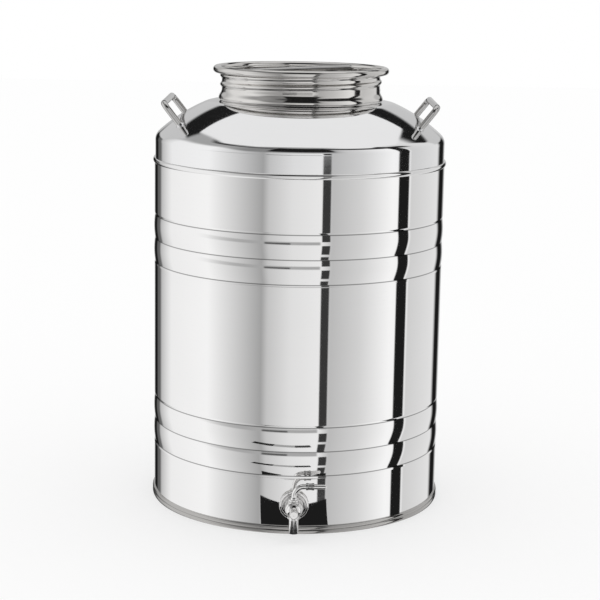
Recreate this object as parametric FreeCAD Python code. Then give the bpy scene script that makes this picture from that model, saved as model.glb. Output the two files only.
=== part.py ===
"""Stainless steel drum of about 50 litres for liquids, with a rolled-thread screw lid,
two side handles and a small plug tap low on the wall.

The origin is on the floor, on the drum's axis. +Z is up and the tap points along -Y.
All lengths are in millimetres and all angles in degrees.
"""
import FreeCAD, Part
import math
import os

V = FreeCAD.Vector
UP = V(0, 0, 1)

# Sheet and fits
SHEET = 0.8            # steel sheet of the body, shoulder, base and lid
NECK_SHEET = 1.0       # heavier sheet of the rolled neck
ASSEMBLY_GAP = 0.05    # gap left where one fixed piece fits on or in another
RUNNING_GAP = 0.05     # radial gap where one piece turns in another

# Body
BODY_RADIUS = 185.0
BODY_TOP = 438.0
BEAD_HEIGHT = 30.1     # one rolled rib, from crease to crease
BEAD_CROWN = 0.6       # how far a rib's crown stands out of the wall
BEAD_CREASE = 0.5      # how far the crease between two ribs lies in
BEAD_LEAD = 2.5        # sloped wall beside the first and last crease
RIBS_PER_GROUP = 2
RIB_GROUP_BASES = (72.7, 308.5)

# Foot ring and base pan
FOOT_HEIGHT = 9.8
FOOT_PROUD = 2.3       # how far the ring's beads stand out of the wall
FOOT_LIP = 2.4         # width of the lip under the wall's lower edge
FOOT_LIP_HEIGHT = 1.0
FOOT_GROOVE = 0.9      # depth of the groove between the ring's two beads
PAN_RECESS = 9.0       # height of the pan's edge over the floor
PAN_RISE = 3.0         # how much higher the pan's flat middle stands
PAN_FLAT_RADIUS = 40.0
PAN_CORNER = 4.0

# Shoulder
SKIRT_OVERLAP = 6.0    # depth of the skirt inside the body's top
SKIRT_TOP = 463.1
SHOULDER_RADIUS = 14.0
SHOULDER_SLOPE = 42.0  # slope of the shoulder where the dome begins
DOME_RADIUS = 215.0
SEAM_RING_HEIGHT = 6.4
SEAM_RING_PROUD = 1.9

# Neck
NECK_RADIUS = 100.4
BARREL_RADIUS = 103.0  # smooth band at the neck's foot
BARREL_HEIGHT = 4.0
BARREL_STEP = 3.8      # height of the curved step from the band to the thread
NECK_TOP = 549.0
RIM_WIDTH = 2.5
RIM_HEIGHT = 2.4
RIM_ROUND = 0.8
WELD_LEDGE = 1.5       # how far the dome reaches in under the neck's edge

# Rolled thread, one start, right-hand
THREAD_PITCH = 11.2
THREAD_START_Z = 522.1
THREAD_START_ANGLE = 180.0
THREAD_BULGE = 3.4     # section radius of the ridge on the neck's outside
THREAD_PROUD = 2.2     # how far that ridge stands out of the neck
LID_THREAD_GAP = 0.6   # gap between the crests of the lid's ridge and the neck's groove
LID_THREAD_BULGE = 2.1
LID_THREAD_TURNS = 1.25
LID_THREAD_LEAD = 0.5  # turns from the start of the neck's thread to that of the lid's

# Lid
LID_WALL_GAP = 1.2     # gap between the lid's wall and the neck's bore
LID_DEPTH = 28.8       # recess, from the flange down to the pan
LID_PAN_ROUND = 6.0
LID_EDGE_ROUND = 2.0
CURL_RADIUS = 4.6
CURL_SWEEP = 280.0
CURL_REACH = 111.5     # outer radius of the lid
GASKET_HEIGHT = 2.6
GASKET_WIDTH = 2.4

# Grip bar across the lid
ROD_RADIUS = 4.0       # steel rod of the grip bar and the side handles
GRIP_AZIMUTH = 45.0
GRIP_BEND = 7.0
GRIP_LEG = 6.0         # straight part of each end that is welded to the recess wall
GRIP_TOP_BELOW_RIM = 0.6

# Side handles
HANDLE_WIDTH = 140.0   # between the middles of the two legs
HANDLE_INSET = 36.7    # from the wall in to the middle of the handle's feet
HANDLE_LEAN = 38.0     # from the vertical, outwards
HANDLE_RISE = 33.0     # from the dome to the middle of the top rod
HANDLE_BEND = 9.0
FOOT_PAD_RADIUS = 7.5
FOOT_PAD_TOP = 5.2
FOOT_PAD_HEIGHT = 3.6

# Tap: its axis is level and points along -Y; distances along it start at the wall
TAP_Z = 37.4
SHANK_RADIUS = 10.3
SHANK_INSIDE = 16.0    # length of the shank behind the wall's outer face
SHANK_BORE = 7.0
WALL_HOLE_GAP = 0.5    # radial gap of the wall's hole round the shank
OUTER_GASKET = 2.0     # thickness at the middle of the wall
OUTER_GASKET_RADIUS = 17.5
FLANGE_RADIUS = 18.0
FLANGE_THICKNESS = 3.0
FLANGE_NECK_RADIUS = 8.0
BULB_RADIUS = 11.5
BULB_AT = 19.0         # distance of the plug's axis from the wall
BOSS_RADIUS = 8.0
BOSS_HALF_HEIGHT = 10.8
BARREL_TUBE_RADIUS = 5.2
BARREL_TUBE_END = 41.5
BARREL_GROOVES_AT = (31.6, 36.4)
BARREL_GROOVE_WIDTH = 1.2
BARREL_GROOVE_DEPTH = 0.5
WATERWAY_RADIUS = 3.5
SPOUT_AT = 34.0
SPOUT_RADIUS = 5.75
SPOUT_BORE = 4.5
SPOUT_BOTTOM = 12.4
SPOUT_LENGTH = 16.8    # straight part, which takes a hose
SPOUT_SHOULDER = 2.9   # height of the round shoulder over the straight part
SPOUT_ROOT_RADIUS = 5.2
SPOUT_ROOT_HEIGHT = 1.4
CAP_RADIUS = 4.9
CAP_THICKNESS = 2.5
CAP_STUB = 4.0
CAP_DIMPLE_RADIUS = 1.1
CAP_DIMPLE_DEPTH = 0.7
INNER_GASKET = 2.7
INNER_GASKET_RADIUS = 16.5
WASHER_RADIUS = 16.0
WASHER_THICKNESS = 1.5
LOCK_NUT_FLATS = 27.0
LOCK_NUT_HEIGHT = 6.0

# Plug and lever
PLUG_RADIUS = 6.0
PLUG_HALF_HEIGHT = 9.8
RING_SECTION = 0.55    # section radius of a sealing ring
RING_STANDOFF = 6.6    # height of each sealing ring over and under the tap's axis
PLUG_HEAD_RADIUS = 7.0
PLUG_HEAD_HEIGHT = 1.7
PLUG_STEM_RADIUS = 3.0
PLUG_STEM_LENGTH = 7.6
PLUG_WASHER_THICKNESS = 1.0
PLUG_NUT_FLATS = 10.0
PLUG_NUT_HEIGHT = 3.0
HUB_RADIUS = 4.3
HUB_SUNK = 0.5         # how far the ball's middle lies under the top of the plug's head
LEVER_RADIUS = 3.2
LEVER_BEND = 12.2
LEVER_REACH = 40.0
COLLAR_RADIUS = 4.4
COLLAR_START = 14.2
COLLAR_LENGTH = 9.8
COLLAR_WAIST = 0.5     # depth of the hollow round the collar's middle

# Values that follow from those above
BODY_BORE = BODY_RADIUS - SHEET
BODY_FOOT_Z = FOOT_LIP_HEIGHT + ASSEMBLY_GAP
SKIRT_RADIUS = BODY_BORE - ASSEMBLY_GAP
NECK_BORE = NECK_RADIUS - NECK_SHEET
BARREL_BORE = BARREL_RADIUS - NECK_SHEET
THREAD_PATH_RADIUS = NECK_RADIUS + THREAD_PROUD - THREAD_BULGE
GROOVE_RADIUS = THREAD_BULGE - NECK_SHEET
GROOVE_CREST = THREAD_PATH_RADIUS + GROOVE_RADIUS
LID_WALL_RADIUS = NECK_BORE - LID_WALL_GAP
LID_BORE = LID_WALL_RADIUS - SHEET
LID_THREAD_PATH = GROOVE_CREST - LID_THREAD_GAP - LID_THREAD_BULGE
FLANGE_UNDERSIDE = NECK_TOP + GASKET_HEIGHT
FLANGE_TOP = FLANGE_UNDERSIDE + SHEET
CURL_CENTRE_R = CURL_REACH - CURL_RADIUS
CURL_CENTRE_Z = FLANGE_TOP + 0.1
LID_TOP = CURL_CENTRE_Z + CURL_RADIUS
HANDLE_FOOT_X = BODY_RADIUS - HANDLE_INSET
PLUG_Y = -(BODY_RADIUS + BULB_AT)
PLUG_HEAD_TOP = TAP_Z + BOSS_HALF_HEIGHT + RUNNING_GAP + PLUG_HEAD_HEIGHT
HUB_Z = PLUG_HEAD_TOP - HUB_SUNK


def outline(start, *steps):
    """Open line in the XZ plane: a step is a point, or an arc as a (via, end) pair."""
    edges = []
    here = V(start[0], 0, start[1])
    for step in steps:
        if isinstance(step[0], tuple):
            via, end = step
            there = V(end[0], 0, end[1])
            edges.append(Part.Arc(here, V(via[0], 0, via[1]), there).toShape())
        else:
            there = V(step[0], 0, step[1])
            edges.append(Part.LineSegment(here, there).toShape())
        here = there
    return Part.Wire(edges)


def turned(start, *steps):
    """Solid of revolution about Z of the closed area inside an outline."""
    wire = outline(start, *steps, start)
    return Part.Face(wire).revolve(V(0, 0, 0), UP, 360)


def spun_sheet(line, side, thickness=SHEET):
    """Sheet of even thickness spun about Z; side is +1 for left of the line, -1 for right."""
    section = line.makeOffset2D(side * thickness, 0, True, True)
    return section.revolve(V(0, 0, 0), UP, 360)


def on_circle(centre, radius, angle):
    """Point of a circle in the XZ plane, with the angle counted from +X."""
    turn = math.radians(angle)
    return (centre[0] + radius * math.cos(turn), centre[1] + radius * math.sin(turn))


def arc_about(centre, radius, start_angle, end_angle):
    """Arc step for outline(), from start_angle to end_angle."""
    middle = (start_angle + end_angle) / 2
    return (on_circle(centre, radius, middle), on_circle(centre, radius, end_angle))


def helix_bar(path_radius, section_radius, start_turn, turns):
    """Round bar with ball ends along the neck's thread helix, from start_turn on."""
    helix = Part.makeHelix(THREAD_PITCH, THREAD_PITCH * turns, path_radius)
    start = V(path_radius, 0, 0)
    section = Part.Wire([Part.makeCircle(section_radius, start, V(0, 1, 0))])
    bar = Part.Wire(helix.Edges).makePipeShell([section], True, True)
    last = 2 * math.pi * turns
    end = V(path_radius * math.cos(last), path_radius * math.sin(last), THREAD_PITCH * turns)
    for centre in (start, end):
        bar = bar.fuse(Part.makeSphere(section_radius, centre))
    bar.rotate(V(0, 0, 0), UP, THREAD_START_ANGLE + 360 * start_turn)
    bar.translate(V(0, 0, THREAD_START_Z + THREAD_PITCH * start_turn))
    return bar


def along_tap(radius, start, length):
    """Cylinder on the tap's axis, from a distance in front of the wall outwards."""
    return Part.makeCylinder(radius, length, V(0, -(BODY_RADIUS + start), TAP_Z), V(0, -1, 0))


def upright(radius, low, high, x=0.0, y=0.0):
    """Vertical cylinder between two heights."""
    return Part.makeCylinder(radius, high - low, V(x, y, low))


def hexagon(flats, height, base, axis):
    """Hexagonal prism with a given width across its flats."""
    corner = flats / math.sqrt(3)
    side = V(1, 0, 0)
    other = axis.cross(side)
    points = []
    for i in range(7):
        turn = math.radians(60 * i)
        points.append(base + side * (corner * math.cos(turn)) + other * (corner * math.sin(turn)))
    return Part.Face(Part.makePolygon(points)).extrude(axis * height)


def body_shell():
    """Cylinder of sheet with rolled ribs, a longitudinal tube open at both ends."""
    crown = BODY_RADIUS + BEAD_CROWN
    crease = BODY_RADIUS - BEAD_CREASE
    steps = []
    for base in RIB_GROUP_BASES:
        steps.append((BODY_RADIUS, base - BEAD_LEAD))
        steps.append((crease, base))
        for rib in range(RIBS_PER_GROUP):
            low = base + rib * BEAD_HEIGHT
            steps.append(((crown, low + BEAD_HEIGHT / 2), (crease, low + BEAD_HEIGHT)))
        steps.append((BODY_RADIUS, base + RIBS_PER_GROUP * BEAD_HEIGHT + BEAD_LEAD))
    line = outline((BODY_RADIUS, BODY_FOOT_Z), *steps, (BODY_RADIUS, BODY_TOP))
    shell = spun_sheet(line, +1)
    hole = along_tap(SHANK_RADIUS + WALL_HOLE_GAP, -2 * SHANK_INSIDE, 3 * SHANK_INSIDE)
    return shell.cut(hole)


def base_ring():
    """Rolled foot ring: two beads with a groove between them, and a lip under the wall."""
    inner = BODY_RADIUS + ASSEMBLY_GAP
    crown = BODY_RADIUS + FOOT_PROUD
    groove = crown - FOOT_GROOVE
    bead = FOOT_HEIGHT / 2
    return turned(
        (BODY_RADIUS - FOOT_LIP, 0.0),
        (groove, 0.0),
        ((crown, bead / 2), (groove, bead)),
        ((crown, bead * 1.5), (groove, FOOT_HEIGHT)),
        (inner, FOOT_HEIGHT),
        (inner, FOOT_LIP_HEIGHT),
        (BODY_RADIUS - FOOT_LIP, FOOT_LIP_HEIGHT),
    )


def base_pan():
    """Dished base plate with a flange turned down inside the body."""
    radius = BODY_BORE - ASSEMBLY_GAP
    bend = (radius - PAN_CORNER, PAN_RECESS - PAN_CORNER)
    line = outline(
        (radius, BODY_FOOT_Z),
        (radius, bend[1]),
        arc_about(bend, PAN_CORNER, 0, 90),
        (PAN_FLAT_RADIUS, PAN_RECESS + PAN_RISE),
        (0.0, PAN_RECESS + PAN_RISE),
    )
    return spun_sheet(line, +1)


def dome_centre():
    """Centre of the dome's big arc, tangent to the shoulder's arc."""
    corner = (SKIRT_RADIUS - SHOULDER_RADIUS, SKIRT_TOP)
    return on_circle(corner, SHOULDER_RADIUS - DOME_RADIUS, 90 - SHOULDER_SLOPE)


def dome_height(radius):
    """Height of the dome's outer face at a radius."""
    centre = dome_centre()
    return centre[1] + math.sqrt(DOME_RADIUS ** 2 - (radius - centre[0]) ** 2)


def dome_angle(radius):
    """Angle of the dome's normal at a radius, counted from +X."""
    return math.degrees(math.acos((radius - dome_centre()[0]) / DOME_RADIUS))


def shoulder_line():
    """Outer line of the skirt, shoulder and dome, up to the mouth."""
    corner = (SKIRT_RADIUS - SHOULDER_RADIUS, SKIRT_TOP)
    tangent = 90 - SHOULDER_SLOPE
    mouth = dome_angle(BARREL_BORE - WELD_LEDGE)
    return outline(
        (SKIRT_RADIUS, BODY_TOP - SKIRT_OVERLAP),
        (SKIRT_RADIUS, SKIRT_TOP),
        arc_about(corner, SHOULDER_RADIUS, 0, tangent),
        arc_about(dome_centre(), DOME_RADIUS, tangent, mouth),
    )


def shoulder_dome():
    """Skirt, rounded shoulder and shallow dome, drawn from one sheet."""
    return spun_sheet(shoulder_line(), +1)


def seam_ring():
    """Rolled ring over the joint of body and shoulder, stepped to fit them both."""
    on_body = BODY_RADIUS + ASSEMBLY_GAP
    on_skirt = SKIRT_RADIUS + ASSEMBLY_GAP
    step = BODY_TOP + ASSEMBLY_GAP
    low = BODY_TOP - SEAM_RING_HEIGHT / 2
    high = BODY_TOP + SEAM_RING_HEIGHT / 2
    edge = on_body + SEAM_RING_PROUD / 3
    return turned(
        (on_body, low),
        (edge, low),
        ((BODY_RADIUS + SEAM_RING_PROUD, BODY_TOP), (edge, high)),
        (on_skirt, high),
        (on_skirt, step),
        (on_body, step),
    )


def step_curve(start, end):
    """Two equal arcs that lead from one vertical line to another, as outline() steps."""
    across = start[0] - end[0]
    rise = end[1] - start[1]
    radius = (across ** 2 + rise ** 2) / (4 * across)
    sweep = math.degrees(math.asin(rise / 2 / radius))
    first = (start[0] - radius, start[1])
    second = (end[0] + radius, end[1])
    return [arc_about(first, radius, 0, sweep), arc_about(second, radius, 180 + sweep, 180)]


def neck_form(thread_radius, section_radius, barrel_radius, low, high):
    """Neck as a full body: barrel, curved step and threaded tube with its helical bar."""
    barrel_top = dome_height(BARREL_BORE) + BARREL_HEIGHT
    step_top = barrel_top + BARREL_STEP
    core = turned(
        (0.0, low),
        (barrel_radius, low),
        (barrel_radius, barrel_top),
        *step_curve((barrel_radius, barrel_top), (thread_radius, step_top)),
        (thread_radius, high),
        (0.0, high),
    )
    turns = (NECK_TOP + 1.5 * THREAD_BULGE - THREAD_START_Z) / THREAD_PITCH
    return core.fuse(helix_bar(THREAD_PATH_RADIUS, section_radius, 0.0, turns))


def neck_rim():
    """Thickened edge at the neck's top, with its outer corners rounded."""
    low = NECK_TOP - RIM_HEIGHT
    outer = NECK_BORE + RIM_WIDTH
    inside = NECK_RADIUS - NECK_SHEET / 2
    lower = (outer - RIM_ROUND, low + RIM_ROUND)
    upper = (outer - RIM_ROUND, NECK_TOP - RIM_ROUND)
    return turned(
        (inside, low),
        (lower[0], low),
        arc_about(lower, RIM_ROUND, -90, 0),
        (outer, upper[1]),
        arc_about(upper, RIM_ROUND, 0, 90),
        (inside, NECK_TOP),
    )


def neck_collar():
    """Rolled neck: the thread bulges out of the sheet and leaves a groove inside."""
    foot = dome_height(BARREL_BORE) + ASSEMBLY_GAP
    outside = neck_form(NECK_RADIUS, THREAD_BULGE, BARREL_RADIUS, foot, NECK_TOP)
    inside = neck_form(NECK_BORE, GROOVE_RADIUS, BARREL_BORE, foot - 1, NECK_TOP + 1)
    collar = outside.fuse(neck_rim()).cut(inside)
    over = upright(BODY_RADIUS, NECK_TOP, NECK_TOP + 4 * THREAD_BULGE)
    return collar.cut(over)


def lid_pan():
    """Lid spun from one sheet: recessed pan, wall with rolled thread, flange and curl."""
    pan_top = FLANGE_TOP - LID_DEPTH
    low_bend = (LID_BORE - LID_PAN_ROUND, pan_top + LID_PAN_ROUND)
    top_bend = (LID_BORE + LID_EDGE_ROUND, FLANGE_TOP - LID_EDGE_ROUND)
    curl = (CURL_CENTRE_R, CURL_CENTRE_Z)
    line = outline(
        (0.0, pan_top),
        (low_bend[0], pan_top),
        arc_about(low_bend, LID_PAN_ROUND, -90, 0),
        (LID_BORE, top_bend[1]),
        arc_about(top_bend, LID_EDGE_ROUND, 180, 90),
        (CURL_CENTRE_R - CURL_RADIUS, FLANGE_TOP),
        on_circle(curl, CURL_RADIUS, 180),
        arc_about(curl, CURL_RADIUS, 180, 180 - CURL_SWEEP),
    )
    sheet = spun_sheet(line, -1)
    ridge = helix_bar(LID_THREAD_PATH, LID_THREAD_BULGE, LID_THREAD_LEAD, LID_THREAD_TURNS)
    bore = upright(LID_BORE, pan_top + LID_PAN_ROUND, top_bend[1])
    threaded = sheet.fuse(ridge.cut(bore))
    groove_path = LID_THREAD_PATH - SHEET / 2
    groove_radius = LID_THREAD_BULGE - SHEET * 3 / 4
    groove = helix_bar(groove_path, groove_radius, LID_THREAD_LEAD, LID_THREAD_TURNS)
    return threaded.cut(groove)


def lid_gasket():
    """Flat rubber ring between the neck's rim and the lid's flange."""
    outer = NECK_BORE + GASKET_WIDTH
    ring = upright(outer, NECK_TOP, FLANGE_UNDERSIDE)
    return ring.cut(upright(NECK_BORE + ASSEMBLY_GAP, NECK_TOP, FLANGE_UNDERSIDE))


def bent_rod(corners, bend, radius):
    """Round rod through corner points, with an arc of one radius at each inner corner."""
    edges = []
    here = corners[0]
    for i in range(1, len(corners) - 1):
        back = (corners[i - 1] - corners[i]).normalize()
        ahead = (corners[i + 1] - corners[i]).normalize()
        half = back.getAngle(ahead) / 2
        reach = bend / math.tan(half)
        middle = (back + ahead).normalize()
        arc_start = corners[i] + back * reach
        arc_end = corners[i] + ahead * reach
        arc_via = corners[i] + middle * (bend / math.sin(half) - bend)
        edges.append(Part.LineSegment(here, arc_start).toShape())
        edges.append(Part.Arc(arc_start, arc_via, arc_end).toShape())
        here = arc_end
    edges.append(Part.LineSegment(here, corners[-1]).toShape())
    path = Part.Wire(edges)
    section = Part.Wire([Part.makeCircle(radius, corners[0], corners[1] - corners[0])])
    return path.makePipeShell([section], True, False)


def lid_grip():
    """Rod across the recess, bent down at both ends and welded to the recess wall."""
    level = LID_TOP - GRIP_TOP_BELOW_RIM - ROD_RADIUS
    reach = LID_BORE - ASSEMBLY_GAP - ROD_RADIUS
    foot = level - GRIP_BEND - GRIP_LEG
    corners = [V(-reach, 0, foot), V(-reach, 0, level), V(reach, 0, level), V(reach, 0, foot)]
    rod = bent_rod(corners, GRIP_BEND, ROD_RADIUS)
    rod.rotate(V(0, 0, 0), UP, GRIP_AZIMUTH)
    return rod


def dome_body():
    """Everything under the dome's outer face, grown by the assembly gap."""
    corner = (SKIRT_RADIUS - SHOULDER_RADIUS, SKIRT_TOP)
    tangent = 90 - SHOULDER_SLOPE
    crown = dome_angle(NECK_RADIUS)
    grown = DOME_RADIUS + ASSEMBLY_GAP
    start = on_circle(corner, SHOULDER_RADIUS + ASSEMBLY_GAP, tangent)
    return turned(
        (0.0, BODY_TOP),
        (start[0], BODY_TOP),
        start,
        arc_about(dome_centre(), grown, tangent, crown),
        (0.0, on_circle(dome_centre(), grown, crown)[1]),
    )


def handle_axes(side):
    """Foot point and direction of a handle's legs; side is +1 for the right handle."""
    radius = math.hypot(HANDLE_FOOT_X, HANDLE_WIDTH / 2)
    foot = V(side * HANDLE_FOOT_X, 0, dome_height(radius))
    lean = math.radians(HANDLE_LEAN)
    return foot, V(side * math.sin(lean), 0, math.cos(lean))


def handle(side):
    """Low U of bent rod, leaning outwards, with its legs cut to sit on the dome."""
    foot, leg = handle_axes(side)
    half = V(0, HANDLE_WIDTH / 2, 0)
    low = foot - leg * (2 * ROD_RADIUS)
    high = foot + leg * HANDLE_RISE
    rod = bent_rod([low - half, high - half, high + half, low + half], HANDLE_BEND, ROD_RADIUS)
    return rod.cut(dome_body())


def handle_pads(side):
    """Welded collars round the two legs of a handle, cut to sit on the dome."""
    foot, leg = handle_axes(side)
    sunk = ROD_RADIUS
    pads = []
    for end in (-1, 1):
        centre = foot + V(0, end * HANDLE_WIDTH / 2, 0)
        base = centre - leg * sunk
        skirt = Part.makeCylinder(FOOT_PAD_RADIUS, sunk, base, leg)
        cone = Part.makeCone(FOOT_PAD_RADIUS, FOOT_PAD_TOP, FOOT_PAD_HEIGHT, centre, leg)
        bore = Part.makeCylinder(ROD_RADIUS + ASSEMBLY_GAP, sunk + 2 * FOOT_PAD_HEIGHT, base, leg)
        pads.append(skirt.fuse(cone).cut(bore).cut(dome_body()))
    return Part.makeCompound(pads)


def tap_outer_gasket():
    """Rubber ring under the tap's flange, curved to the wall."""
    ring = along_tap(OUTER_GASKET_RADIUS, -SHANK_INSIDE, SHANK_INSIDE + OUTER_GASKET)
    bore = along_tap(SHANK_RADIUS + ASSEMBLY_GAP, -SHANK_INSIDE, 2 * SHANK_INSIDE)
    return ring.cut(bore).cut(upright(BODY_RADIUS + ASSEMBLY_GAP, 0, 4 * TAP_Z))


def tap_inner_gasket():
    """Rubber ring inside the drum, curved to the wall."""
    face = SHEET + INNER_GASKET
    ring = along_tap(INNER_GASKET_RADIUS, -face, face)
    bore = along_tap(SHANK_RADIUS + ASSEMBLY_GAP, -face, 2 * face)
    return ring.cut(bore).common(upright(BODY_BORE - ASSEMBLY_GAP, 0, 4 * TAP_Z))


def tap_inner_washer():
    """Flat steel washer between the inner gasket and the lock nut."""
    face = SHEET + INNER_GASKET + WASHER_THICKNESS
    ring = along_tap(WASHER_RADIUS, -face, WASHER_THICKNESS)
    return ring.cut(along_tap(SHANK_RADIUS + ASSEMBLY_GAP, -face, WASHER_THICKNESS))


def tap_lock_nut():
    """Hexagonal nut that clamps the tap from inside."""
    face = SHEET + INNER_GASKET + WASHER_THICKNESS
    start = V(0, -(BODY_RADIUS - face), TAP_Z)
    nut = hexagon(LOCK_NUT_FLATS, LOCK_NUT_HEIGHT, start, V(0, 1, 0))
    return nut.cut(along_tap(SHANK_RADIUS + ASSEMBLY_GAP, -BULB_AT, BULB_AT))


def tap_body():
    """Tap casting: shank, flange, bulb with its plug bore, and grooved nozzle barrel."""
    flange_front = OUTER_GASKET + FLANGE_THICKNESS
    shank = along_tap(SHANK_RADIUS, -SHANK_INSIDE, SHANK_INSIDE + flange_front)
    flange = along_tap(FLANGE_RADIUS, OUTER_GASKET, FLANGE_THICKNESS)
    flange = flange.makeFillet(FLANGE_THICKNESS / 3, [flange.Edges[0]])
    neck = along_tap(FLANGE_NECK_RADIUS, flange_front, BULB_AT - flange_front)
    bulb = Part.makeSphere(BULB_RADIUS, V(0, PLUG_Y, TAP_Z))
    boss = upright(BOSS_RADIUS, TAP_Z - BOSS_HALF_HEIGHT, TAP_Z + BOSS_HALF_HEIGHT, 0, PLUG_Y)
    barrel = along_tap(BARREL_TUBE_RADIUS, BULB_AT, BARREL_TUBE_END - BULB_AT)
    casting = shank.multiFuse([flange, neck, bulb, boss, barrel])
    cuts = [
        along_tap(SHANK_BORE, -SHANK_INSIDE, SHANK_INSIDE + flange_front),
        along_tap(WATERWAY_RADIUS, 0, BARREL_TUBE_END),
        upright(PLUG_RADIUS + RUNNING_GAP, 0, 2 * TAP_Z, 0, PLUG_Y),
        upright(WATERWAY_RADIUS, TAP_Z - BARREL_TUBE_RADIUS, TAP_Z, 0, -(BODY_RADIUS + SPOUT_AT)),
    ]
    for start in BARREL_GROOVES_AT:
        band = along_tap(BULB_RADIUS, start, BARREL_GROOVE_WIDTH)
        core = along_tap(BARREL_TUBE_RADIUS - BARREL_GROOVE_DEPTH, start, BARREL_GROOVE_WIDTH)
        cuts.append(band.cut(core))
    for cut in cuts:
        casting = casting.cut(cut)
    return casting


def tap_spout():
    """Spout tube with a round shoulder, its root saddled to the nozzle barrel."""
    shoulder = SPOUT_BOTTOM + SPOUT_LENGTH
    root = shoulder + SPOUT_SHOULDER
    top = root + SPOUT_ROOT_HEIGHT
    drop = SPOUT_RADIUS - SPOUT_ROOT_RADIUS
    via = (SPOUT_RADIUS - drop / 4, shoulder + SPOUT_SHOULDER / 2)
    tube = turned(
        (SPOUT_BORE, SPOUT_BOTTOM),
        (SPOUT_RADIUS, SPOUT_BOTTOM),
        (SPOUT_RADIUS, shoulder),
        (via, (SPOUT_ROOT_RADIUS, root)),
        (SPOUT_ROOT_RADIUS, top),
        (SPOUT_BORE, top),
    )
    tube.translate(V(0, -(BODY_RADIUS + SPOUT_AT), 0))
    barrel = along_tap(BARREL_TUBE_RADIUS + ASSEMBLY_GAP, BULB_AT, BARREL_TUBE_END)
    bulb = Part.makeSphere(BULB_RADIUS + ASSEMBLY_GAP, V(0, PLUG_Y, TAP_Z))
    return tube.cut(barrel).cut(bulb)


def tap_front_cap():
    """Screwed cap that closes the nozzle barrel, with a centre dimple."""
    start = BARREL_TUBE_END + ASSEMBLY_GAP
    disc = along_tap(CAP_RADIUS, start, CAP_THICKNESS)
    disc = disc.makeFillet(CAP_THICKNESS / 4, [disc.Edges[0], disc.Edges[2]])
    stub = along_tap(WATERWAY_RADIUS - ASSEMBLY_GAP, start - CAP_STUB, CAP_STUB + CAP_THICKNESS / 2)
    front = start + CAP_THICKNESS
    dimple = along_tap(CAP_DIMPLE_RADIUS, front - CAP_DIMPLE_DEPTH, CAP_DIMPLE_DEPTH)
    return disc.fuse(stub).cut(dimple)


def ring_heights():
    """Heights of the two sealing rings."""
    return (TAP_Z - RING_STANDOFF, TAP_Z + RING_STANDOFF)


def tap_plug():
    """Plug with its cross bore, ring grooves, head and threaded stem; closed at rest."""
    low = TAP_Z - PLUG_HALF_HEIGHT
    head = PLUG_HEAD_TOP - PLUG_HEAD_HEIGHT
    plug = upright(PLUG_RADIUS, low, head, 0, PLUG_Y)
    plug = plug.fuse(upright(PLUG_HEAD_RADIUS, head, PLUG_HEAD_TOP, 0, PLUG_Y))
    plug = plug.fuse(upright(PLUG_STEM_RADIUS, low - PLUG_STEM_LENGTH, low, 0, PLUG_Y))
    bore = Part.makeCylinder(WATERWAY_RADIUS, 3 * PLUG_RADIUS, V(-1.5 * PLUG_RADIUS, PLUG_Y, TAP_Z), V(1, 0, 0))
    plug = plug.cut(bore)
    floor = PLUG_RADIUS - 2 * RING_SECTION
    for z in ring_heights():
        half = RING_SECTION + ASSEMBLY_GAP
        band = upright(PLUG_RADIUS + 1, z - half, z + half, 0, PLUG_Y)
        plug = plug.cut(band.cut(upright(floor, z - half, z + half, 0, PLUG_Y)))
    return plug


def tap_plug_rings():
    """Two sealing rings in the plug's grooves."""
    middle = PLUG_RADIUS - RING_SECTION + ASSEMBLY_GAP / 2
    rings = []
    for z in ring_heights():
        rings.append(Part.makeTorus(middle, RING_SECTION - ASSEMBLY_GAP / 2, V(0, PLUG_Y, z)))
    return Part.makeCompound(rings)


def tap_plug_washer():
    """Washer under the boss that keeps the plug in."""
    top = TAP_Z - BOSS_HALF_HEIGHT - RUNNING_GAP
    low = top - PLUG_WASHER_THICKNESS
    disc = upright(PLUG_HEAD_RADIUS, low, top, 0, PLUG_Y)
    return disc.cut(upright(PLUG_STEM_RADIUS + ASSEMBLY_GAP, low, top, 0, PLUG_Y))


def tap_plug_nut():
    """Nut on the plug's stem, against the washer."""
    top = TAP_Z - BOSS_HALF_HEIGHT - RUNNING_GAP - PLUG_WASHER_THICKNESS
    low = top - PLUG_NUT_HEIGHT
    nut = hexagon(PLUG_NUT_FLATS, PLUG_NUT_HEIGHT, V(0, PLUG_Y, low), UP)
    return nut.cut(upright(PLUG_STEM_RADIUS + ASSEMBLY_GAP, low, top, 0, PLUG_Y))


def tap_hub():
    """Half ball on the plug's head that holds the lever."""
    ball = Part.makeSphere(HUB_RADIUS, V(0, PLUG_Y, HUB_Z))
    return ball.cut(upright(PLUG_HEAD_RADIUS, HUB_Z - HUB_RADIUS, PLUG_HEAD_TOP, 0, PLUG_Y))


def tap_lever():
    """Bent rod that rises out of the hub and turns level to the right."""
    start = V(0, PLUG_Y, HUB_Z)
    corner = start + V(0, 0, HUB_RADIUS + LEVER_BEND)
    end = corner + V(LEVER_REACH - LEVER_RADIUS, 0, 0)
    rod = bent_rod([start, corner, end], LEVER_BEND, LEVER_RADIUS)
    rod = rod.fuse(Part.makeSphere(LEVER_RADIUS, end))
    return rod.cut(Part.makeSphere(HUB_RADIUS + ASSEMBLY_GAP, start))


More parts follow.
